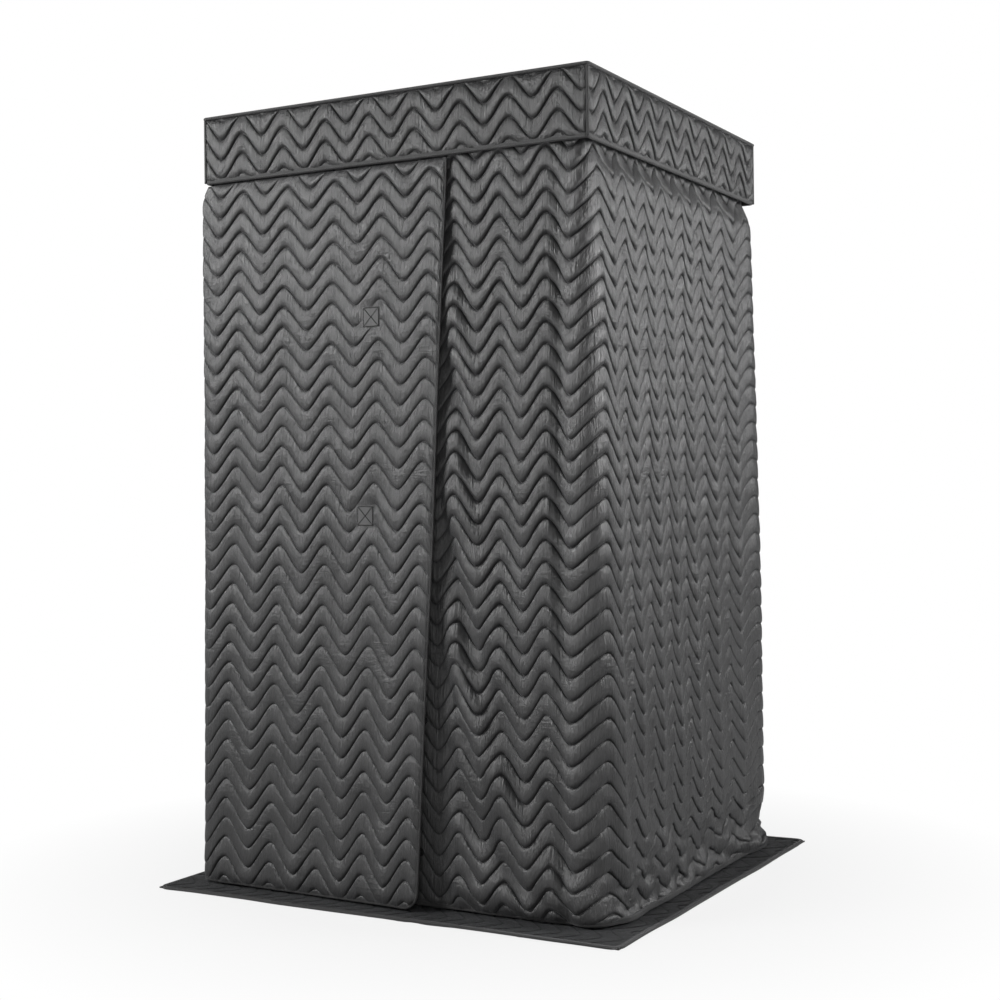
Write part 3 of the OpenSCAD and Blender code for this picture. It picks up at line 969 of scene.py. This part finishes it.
def settle_door():
    """The door is sewn along its hinge side, held along its top and stiff along its bound edge."""
    def held(s, z):
        sewn, stiff = 1 - smooth(s, 0.09, 0.16), 0.9 * smooth(s, 0.93, 0.99)
        return np.maximum(np.maximum(sewn, stiff), smooth(z, DOOR_TOP - 60 * MM, DOOR_TOP - 10 * MM))

    def slack(s, z):
        return 0.4 + 0.6 * (1 - smooth(z, 0.1, 1.2))

    door_settling.simulate(door_points, held, slack, (0.0, -0.012))


def patch_distance(x, z, patch):
    """Distance outside a stitched patch's box, 0 inside it."""
    return np.hypot(np.maximum(np.abs(x - patch[0]) - PATCH_W / 2, 0),
                    np.maximum(np.abs(z - patch[1]) - PATCH_H / 2, 0))


class Door(Sheet):
    puff = 7.4 * MM
    flat_edges = "rtb"
    inner_puff = 0.8
    inner_levels = SEEN_INNER_LEVELS
    columns = np.linspace(0, 1, 112)
    first_row = -6 * MM
    top = DOOR_TOP

    def across(self, s, z):
        return door_x(s, z) - door_left(z)

    def low(self, s):
        """The foot, with its round lower corner."""
        centre = door_free(DOOR_FOOT + DOOR_CORNER_R) - DOOR_CORNER_R
        inside = np.clip((door_x(s, DOOR_FOOT) - centre) / DOOR_CORNER_R, 0, 0.985)
        return DOOR_FOOT + DOOR_CORNER_R * (1 - np.sqrt(1 - inside ** 2))

    def wave(self, s, z):
        wander = 3.5 * MM * noise(s * 2.2, z / 0.35, 45) + 1.3 * MM * noise(s * 18, z / 0.05, 51)
        tall = 1.05 + 0.27 * door_drop(z) + 0.06 * noise(s * 3, z / 0.4, 46)
        return AMPLITUDE * tall * zigzag(door_phase(s, z), 0.8) + wander

    def place(self, s, z):
        return with_normals(door_points, s, z)

    def relief(self, s, z):
        x = door_x(s, z)
        amount = 1 + 0.3 * noise(s * 6, z / 0.08, 47) - 0.1 * np.cos(4 * np.pi * door_phase(s, z))
        amount = amount * (0.3 + 0.7 * smooth(x - door_bend(z), -10 * MM, 35 * MM))
        for patch in PATCHES:
            amount = amount * smooth(patch_distance(x, z, patch), 0, 26 * MM)
        return amount

    def detail(self, s, z):
        """Upright pulls at the tips, puckers along the hinge seam, and tugs round the patches."""
        x = door_x(s, z)
        tipped = np.abs(zigzag(door_phase(s, z), 0.9)) ** 3
        total = 0.7 * MM * noise(x / 0.010, z / 0.06, 48) * (0.3 + 0.7 * tipped)
        total = total + 1.3 * MM * noise(x / 0.03, z / 0.007, 49) * near(x, DOOR_LEFT + 6 * MM, 20 * MM)
        for patch in PATCHES:
            distance = patch_distance(x, z, patch)
            rays = np.sin(9 * np.arctan2(z - patch[1], x - patch[0]))
            close = np.exp(-distance / (22 * MM))
            total = total * (1 - close) + close * (1.6 * smooth(distance, 0, 6 * MM) * rays + 1.0) * MM
        return total

    def seam_and_shade_fade(self, s, z):
        # Widens the seam distance, fading the thread and the painted crease shade unevenly.
        return uneven_seam(door_phase(s, z), door_x(s, z), z, 53)


door_sheet = Door()


def door_face(x, z, inner=False):
    """Points on the padded door."""
    return face_points(door_sheet, door_share(x, z), z, inner)[0]


def door_border():
    """The bound edge: down the free side, round the lower corner and along the foot."""
    corner_z = DOOR_FOOT + DOOR_CORNER_R
    side_z = np.linspace(DOOR_TOP, corner_z, 200)
    turn = np.linspace(0, np.pi / 2, 12)[1:]
    arc_z = corner_z - DOOR_CORNER_R * np.sin(turn)
    arc_s = door_share(door_free(corner_z) - DOOR_CORNER_R * (1 - np.cos(turn)), arc_z)
    foot_s = np.linspace(arc_s[-1], 0, 90)[1:]
    s = np.concatenate([np.ones_like(side_z), arc_s, foot_s])
    z = np.concatenate([side_z, arc_z, np.full_like(foot_s, DOOR_FOOT)])
    points, normal = with_normals(door_points, s, z)
    return points, unit(np.cross(normal, np.gradient(points, axis=0))), normal


def door():
    """The quilted door and its bound edge."""
    fit(build_sheet("door_quilt", door_sheet, QUILT), "hinge", "quilted_fabric", "door_flap")
    border = door_border()
    tape = edge_tape("door_edge_tape", border, 12 * MM, 5.4 * MM)
    fit(tape, "hinge", "edge_binding", "door_edge_binding")
    fit(edge_thread("door_thread", border, (1 * MM, 6.5 * MM), 1.4 * MM, 0.6 * MM), "hinge", "edge_binding")


def door_patches():
    """Squares of cloth that back the pull strap's ends, each under a box and cross of stitches."""
    lines = []
    for index, (patch_x, patch_z) in enumerate(PATCHES):
        x, z = grid(patch_x + np.linspace(-PATCH_W / 2, PATCH_W / 2, 13),
                    patch_z + np.linspace(-PATCH_H / 2, PATCH_H / 2, 13))
        front = door_face(x, z) - Y * (1.0 * MM + 0.35 * MM * noise(x / 0.006, z / 0.02, 52))[..., None]
        plate = slab(f"door_patch_{index + 1}", front, front + Y * 2.4 * MM, np.stack([x, z], -1), PATCH)
        fit(plate, "door", "quilted_fabric")
        for line in box_and_cross(patch_x, patch_z, PATCH_W / 2 - 2 * MM, PATCH_H / 2 - 2 * MM, 2 * MM):
            lines.append(door_face(line[:, 0], line[:, 2]) - Y * 1.8 * MM)
    thread = stitches("door_patch_thread", lines, DARK_THREAD, spacing=3.4 * MM, radius=1.3 * MM)
    fit(thread, "door", "edge_binding")


settle_door()
door()
door_patches()

# ---- Flat quilted sheets: the roof cover, the door header and the floor mat


class Flat(Sheet):
    """A flat panel: its lower left corner, and its left-to-right and upward directions."""

    foot = 0.0

    def __init__(self, origin, right, up, width, height, puff=6 * MM, seed=60, phase=0.0, first_row=0.0,
                 step=7.5 * MM, sharpness=0.9, amplitude=AMPLITUDE, period=PERIOD, bow=0.0, inner_puff=0.4):
        self.origin, self.right, self.up, self.normal = origin, right, up, np.cross(right, up)
        self.width, self.top = width, height
        self.columns = np.linspace(0, width, round(width / step) + 1)
        self.puff, self.inner_puff, self.seed = puff, inner_puff, seed
        self.phase, self.first_row = phase, first_row
        self.sharpness, self.amplitude, self.period, self.bow = sharpness, amplitude, period, bow

    def across(self, s, z):
        return s

    def turn(self, s, z):
        return s / self.period + self.phase + 0.04 * noise(s / 0.5, z / 0.5, self.seed)

    def wave(self, s, z):
        wander = 2.5 * MM * noise(s / 0.4, z / 0.3, self.seed + 1)
        return self.amplitude * zigzag(self.turn(s, z), self.sharpness) + wander

    def out(self, s, z):
        """How far the cloth stands out from its plane."""
        inside = np.minimum(smooth(s, 0, 0.1), smooth(self.width - s, 0, 0.1))
        inside = inside * np.minimum(smooth(z, 0, 0.05), smooth(self.top - z, 0, 0.05))
        bow = self.bow * np.sin(np.pi * s / self.width) * np.sin(np.pi * np.clip(z / self.top, 0, 1))
        return bow + inside * 1.8 * MM * noise(s / 0.16, z / 0.2, self.seed + 2)

    def place(self, s, z):
        points = self.origin + s[..., None] * self.right + z[..., None] * self.up
        return points + self.out(s, z)[..., None] * self.normal, self.normal

    def relief(self, s, z):
        return 1 + 0.2 * noise(s / 0.1, z / 0.06, self.seed + 3)

    def detail(self, s, z):
        return 0.6 * MM * noise(s / 0.012, z / 0.05, self.seed + 4)

    def seam_and_shade_fade(self, s, z):
        return uneven_seam(self.turn(s, z), s, z, self.seed + 5)


class Mat(Flat):
    """A flat panel that lies calm in its middle and rumpled round its rim."""

    def out(self, s, z):
        rim = np.minimum(np.minimum(s, self.width - s), np.minimum(z, self.top - z))
        rumple = 1.5 * noise(s / 0.035 + z / 0.09, z / 0.035, 174) + 1.8 * noise(s / 0.13, z / 0.13, 171)
        return ((1 - smooth(rim, 0, 0.12)) * rumple + 0.6 * noise(s / 0.3, z / 0.3, 172)) * MM

    def seam_and_shade_fade(self, s, z):
        return 0.0


def ring(name, half_side, radius, z, section, body, node, ruffle=None):
    """A binding round a square. Returns the points along its middle and their outward directions."""
    side, arc = 2 * (half_side - radius), radius * math.pi / 2
    lap = np.concatenate([np.linspace(0, side, max(2, int(side / (9 * MM))), endpoint=False),
                          np.linspace(side, side + arc, 5, endpoint=False)])
    u = np.concatenate([lap + quarter * (side + arc) for quarter in range(4)])
    points, outs = square_path(u, side / 2, radius)
    points = points + Z * z
    if ruffle is not None:
        points = points + ruffle(points, outs)
    fit(sweep(name, points, outs, Z, section, BINDING, closed=True), body, "edge_binding", node)
    return points, outs


def valances():
    """Four quilted bands that hang from the roof's edge."""
    foot, top = HEM_Z + 4 * MM, roof_lo[2] + 2 * MM
    for side, (name, phase) in enumerate((("front", 0.30), ("right", 0.62), ("back", 0.1), ("left", 0.45))):
        out, along = facing(side)
        sheet = Flat((out - along) * VALANCE_OUT + Z * foot, along, Z, 2 * VALANCE_OUT, top - foot,
                     8 * MM, 70 + 10 * side, phase, -14 * MM,
                     sharpness=0.75, amplitude=31 * MM, period=0.91 * PERIOD)
        piece = build_sheet(f"valance_{name}_quilt", sheet, COVER_QUILT)
        fit(piece, "roof_cover", "quilted_fabric", f"valance_{name}")


def roof_cover():
    """The roof panel, the valances, and the cords, tape and thread that join them."""
    half = VALANCE_OUT + 1 * MM
    sheet = Flat((-half, -half, ROOF_TOP - 7 * MM), X, Y, 2 * half, 2 * half, seed=120, phase=0.2,
                 step=8.5 * MM, bow=-14 * MM)
    fit(build_sheet("roof_quilt", sheet, ROOF_QUILT), "roof_cover", "quilted_fabric", "roof_panel")
    valances()
    ring("roof_edge_cord", VALANCE_OUT + 3 * MM, 6 * MM, ROOF_TOP - 3 * MM, round_section(4.2 * MM),
         "roof_cover", "roof_piping")
    tape_h = 13 * MM
    tape_z = HEM_Z + tape_h / 2
    points, outs = ring("valance_hem_tape", VALANCE_OUT - 1 * MM, 9 * MM, tape_z,
                        rounded_section(8 * MM, tape_h, 3 * MM), "roof_cover", "valance_hem_binding")
    lines = ((4.1 * MM, -3.2 * MM), (4.1 * MM, 3.6 * MM), (2.2 * MM, ROOF_TOP - 9 * MM - tape_z))
    thread = stitches("roof_cover_thread", [looped(points + outs * out + Z * rise) for out, rise in lines])
    fit(thread, "roof_cover", "edge_binding")
    upright = np.linspace(HEM_Z + 3 * MM, ROOF_TOP - 5 * MM, 20)[:, None] * Z
    for index in range(4):
        out, along = facing(index)
        cord = sweep(f"valance_corner_cord_{index + 1}", upright + (out + along) * half, X, Y,
                     round_section(3.6 * MM, 10), BINDING)
        fit(cord, "roof_cover", "edge_binding", *(["valance_corner_piping"] if index == 0 else []))


def door_header():
    """The strip above the door, behind the valance."""
    origin = np.array(header_lo) + (2 * MM, 0.5 * MM, 0)
    size = header_hi - header_lo
    sheet = Flat(origin, X, Z, size[0] - 2 * MM, size[2], 1.6 * MM, seed=160, inner_puff=0.2)
    fit(build_sheet("door_header_quilt", sheet, QUILT), "booth", "quilted_fabric", "door_header")


def mat_ruffle(points, outs):
    x, y = points[:, 0], points[:, 1]
    wander = outs * (2.2 * MM * noise(x / 0.16, y / 0.16, 173))[:, None]
    return wander + Z * (1.4 * MM * noise(x / 0.13, y / 0.13, 171))[:, None]


def floor_mat():
    half = MAT_HALF - 3 * MM
    sheet = Mat((half, -half, MAT_TOP - 4.6 * MM), Y, -X, 2 * half, 2 * half, 2.0 * MM, 170, 0.3,
                step=9.5 * MM, inner_puff=0.15)
    fit(build_sheet("floor_mat_quilt", sheet, MAT_QUILT), "booth", "quilted_fabric", "floor_mat")
    section = rounded_section(14 * MM, 6.5 * MM, 2.6 * MM)
    points, outs = ring("floor_mat_tape", MAT_HALF - 6 * MM, 24 * MM, MAT_TOP - 5.2 * MM, section,
                        "booth", "floor_mat_binding", mat_ruffle)
    thread = stitches("floor_mat_thread", [looped(points - outs * 3 * MM + Z * 3.4 * MM)])
    fit(thread, "booth", "edge_binding")


roof_cover()
door_header()
floor_mat()

# ---- Webbing and touch tape

WEB_T = 1.8 * MM
LOOP_W = 25 * MM
LOOP_GAP = 300 * MM


def pull_strap():
    """Webbing sewn to the door's inner face at both ends, with slack between them."""
    low, high = strap_lo[2], strap_hi[2]
    z = np.linspace(low, high, 90)
    path = door_face(strap_x(z), z, inner=True)
    sewn = 1 - smooth(np.minimum(z - low, high - z), STRAP_SEWN, 2 * STRAP_SEWN)
    slack = smooth(z - low, STRAP_SEWN, 4 * STRAP_SEWN) * smooth(high - z, STRAP_SEWN, 4 * STRAP_SEWN)
    level = np.interp(z, (low, high), (path[:20, 1].max(), path[-20:, 1].max()))
    path[:, 1] = path[:, 1] * sewn + level * (1 - sewn) + WEB_T
    path[:, 1] += 5 * MM * slack + 0.5 * MM * noise(z / 0.03, 0.5, 181)
    along = unit(np.gradient(path, axis=0))
    inwards = np.cross(along, -X)
    section = rounded_section(STRAP_W, WEB_T, 0.7 * MM, 2)
    strap = sweep("pull_strap_webbing", path, np.cross(along, inwards), inwards, section, WEBBING)
    fit(strap, "door", "webbing", "door_pull_strap")
    lines = []
    for centre in (low + STRAP_SEWN / 2, high - STRAP_SEWN / 2):
        for line in box_and_cross(0, centre, STRAP_W / 2 - 4 * MM, STRAP_SEWN / 2 - 4 * MM, 3 * MM):
            line[:, 0] += np.interp(line[:, 2], z, path[:, 0])
            line[:, 1] += np.interp(line[:, 2], z, path[:, 1]) + WEB_T / 2 + 0.3 * MM
            lines.append(line)
    fit(stitches("pull_strap_thread", lines), "door", "webbing")


def loop_outline(wall_x, rail_x, rail_z, foot_z, top_z):
    """A hanger loop from the side: up the curtain, over to the rail, round it and back."""
    radius = top_z - rail_z
    bend_r = 6 * MM
    tail = [(wall_x, z) for z in np.linspace(foot_z, rail_z - bend_r, 12)[:-1]]
    bend = [(wall_x - bend_r * (1 - math.cos(a)), rail_z - bend_r * (1 - math.sin(a)))
            for a in np.linspace(0, math.pi / 2, 6)]
    around = [(rail_x + radius * math.cos(a), rail_z + radius * math.sin(a))
              for a in np.linspace(0.1, 2 * math.pi - 0.25, 32)]
    lapped = [(x, rail_z - 2 * MM) for x in np.linspace(rail_x + radius + 2 * MM, wall_x - 6 * MM, 4)]
    return np.array(tail + bend + around + lapped)


def hanger_loops():
    """Webbing loops from the curtain's inner face up and round the top rails."""
    rail_x, _, rail_z = np.mean(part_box("top_rail_right"), axis=0)
    loops_lo, loops_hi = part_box("wall_hanger_straps")
    wall_x = loops_hi[0] - WEB_T / 2
    outline = loop_outline(wall_x, rail_x, rail_z, loops_lo[2], loops_hi[2] - WEB_T / 2)
    section = rounded_section(LOOP_W, WEB_T, 0.7 * MM, 2)
    spots = [(side, place * LOOP_GAP) for side in (1, 2, 3) for place in (-1, 0, 1)]
    spots += [(0, PANEL_EDGE + 60 * MM), (0, PANEL_EDGE + 60 * MM + LOOP_GAP)]
    left, right, low, high = -9 * MM, 9 * MM, rail_z - 62 * MM, rail_z - 44 * MM
    sewn = [(left, low), (right, low), (right, high), (left, high),
            (left, low), (right, high), (right, low), (left, high)]
    strips, lines = [], []
    for index, (side, place) in enumerate(spots):
        out, along = facing(side)
        wander = 0.7 * MM * noise(np.arange(len(outline)) / 6, index * 1.7, 182)[:, None]
        path = outline[:, :1] * out + outline[:, 1:] * Z + (place + wander) * along
        upward = np.cross(unit(np.gradient(path, axis=0)), along)
        strips.append(sweep("loop", path, along, upward, section, WEBBING))
        face = out * (wall_x - WEB_T / 2 - 0.2 * MM) + along * place
        lines.append(np.array([face + along * a + Z * b for a, b in sewn]))
    fit(joined("hanger_loops", strips), "booth", "webbing", "wall_hanger_straps")
    fit(stitches("hanger_loop_thread", lines), "booth", "webbing")


def touch_tapes():
    """Soft tape on the curtain and hook tape inside the valances, along three sides."""
    loop_lo, loop_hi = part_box("wall_loop_tape")
    hook_lo, hook_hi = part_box("roof_hook_tape")
    run = np.linspace(loop_lo[1], -loop_lo[1], 150)
    sheet = Wall(0, U_END)
    soft, hooks = [], []
    for side, start in ((1, U_RIGHT), (2, U_BACK), (3, U_LEFT)):
        u, z = grid(start + SIDE / 2 + run, np.linspace(loop_lo[2], loop_hi[2], 6))
        front, normal = face_points(sheet, u, z)[0], wall_path(u)[1]
        ripple = 0.3 * MM * noise(u / 0.02, z / 0.02, 183)[..., None]
        soft.append(slab("tape", front + normal * (0.6 * MM + ripple), front - normal * 1.5 * MM,
                         np.stack([u, z], -1), TOUCH_TAPE))
        out, along = facing(side)
        across, z = grid(run, np.linspace(hook_lo[2], hook_hi[2], 6))
        depth = hook_hi[0] + 0.5 * MM * noise(across / 0.05, z / 0.05, 184 + side)
        face = depth[..., None] * out + across[..., None] * along + z[..., None] * Z
        hooks.append(slab("tape", face, face - out * 1.6 * MM, np.stack([across, z], -1), TOUCH_TAPE))
    fit(joined("curtain_loop_tape", soft), "booth", "touch_tape", "wall_loop_tape")
    fit(joined("cover_hook_tape", hooks), "roof_cover", "touch_tape", "roof_hook_tape")


pull_strap()
hanger_loops()
touch_tapes()

# ---- CAD nodes that keep their shape

FINISHES = {"steel_tube": powder_coat_material(), "moulded_socket": moulded_material(),
            "rubber_foot": rubber_material(), "magnet": nickel_material(), "webbing": WEBBING,
            "touch_tape": TOUCH_TAPE, "quilted_fabric": QUILT, "edge_binding": BINDING}
for part in frame["record"]["subparts"]:
    mesh = frame["nodes"][part["node"]].data
    mesh.materials.clear()
    mesh.materials.append(FINISHES[part["material_slot"]])

# ---- Stage: a pale floor, a white room, softboxes and the camera

FLOOR_HALF = 14
FLOOR_BOUNCE = 0.45      # how brightly the studio floor lights the tent from below
ROOM_LIGHT = 0.10


def stage_floor():
    """A floor that looks white: it glows, and for the camera the glow dims a little towards the tent as
    painted shade, where some grey paint also shows real shadows.
    """
    g = Graph(bpy.data.materials.new("stage_floor"))
    grey = g.blend(g.noise(g.place(), 40), 0.2, 0.24)
    paint = g.add("BsdfPrincipled", {"Base Color": grey, "Roughness": 0.9, "Specular IOR Level": 0.05})
    seen = g.add("LightPath", {})
    distance = g.add("VectorMath", {0: g.place()}, output=1, operation="LENGTH")
    # Painted shade: the camera sees the glow's share fall from 1.0 far off to 0.86 near the tent.
    white = g.ramp(seen, 0, 1, 1.0, g.ramp(distance, 0.75, 1.5, 0.86, 1.0))
    glow = g.add("Emission", {0: 1.0, 1: g.ramp(seen, 0, 1, FLOOR_BOUNCE, 1.0)})
    g.surface("OutputMaterial", g.add("MixShader", {0: white, 1: paint, 2: glow}))
    corners = np.array([(-1, -1, 0), (1, -1, 0), (1, 1, 0), (-1, 1, 0)]) * FLOOR_HALF
    floor = make_object("floor", corners, [(0, 1, 2, 3)], g.owner)
    floor.location.z = -0.5 * MM


def room():
    world = bpy.data.worlds.new("studio")
    bpy.context.scene.world = world
    g = Graph(world)
    strength = g.ramp(g.add("LightPath", {}), 0, 1, ROOM_LIGHT, 1.0)
    g.surface("OutputWorld", g.add("Background", {0: 1.0, 1: strength}))


def softbox(name, azimuth, elevation, distance, size, power, aim):
    """A softbox aimed at a point. Azimuth 0 is in front of the door, and 90 is to its right."""
    a, e = math.radians(azimuth), math.radians(elevation)
    away = Vector((math.sin(a) * math.cos(e), -math.cos(a) * math.cos(e), math.sin(e)))
    data = bpy.data.lights.new(name, "AREA")
    data.shape = "RECTANGLE"
    data.size, data.size_y = size
    data.energy = power
    light = bpy.data.objects.new(name, data)
    light.location = Vector(aim) + away * distance
    light.rotation_mode = "QUATERNION"
    light.rotation_quaternion = (-away).to_track_quat("-Z", "Y")
    bpy.context.scene.collection.objects.link(light)


def camera():
    """The view that shows the front from its right, at half height."""
    data = bpy.data.cameras.new("camera")
    data.lens, data.sensor_width = 60.7, 36
    data.shift_x, data.shift_y = 0.041, -0.023
    yaw, pitch, roll = math.radians(29.66), math.radians(90.5), math.radians(-0.635)
    obj = bpy.data.objects.new("camera", data)
    turn = Matrix.Rotation(yaw, 4, "Z") @ Matrix.Rotation(pitch, 4, "X") @ Matrix.Rotation(roll, 4, "Z")
    obj.matrix_world = Matrix.Translation((2.192, -4.047, 1.016)) @ turn
    bpy.context.scene.collection.objects.link(obj)
    bpy.context.scene.camera = obj


stage_floor()
room()
softbox("softbox_left", -38, 25, 4.3, (1.5, 1.8), 236, aim=(0, 0, 1.0))
softbox("softbox_low", 24, 2, 2.4, (1.0, 1.2), 16, aim=(0.35, -0.5, 0.65))
softbox("softbox_right", 103, 12, 3.2, (1.4, 1.4), 135, aim=(0, 0, 1.5))
softbox("softbox_top", 0, 60, 3.4, (2.2, 2.2), 6, aim=(0, 0, 1.0))
camera()
bpy.context.scene.view_settings.view_transform = "Standard"
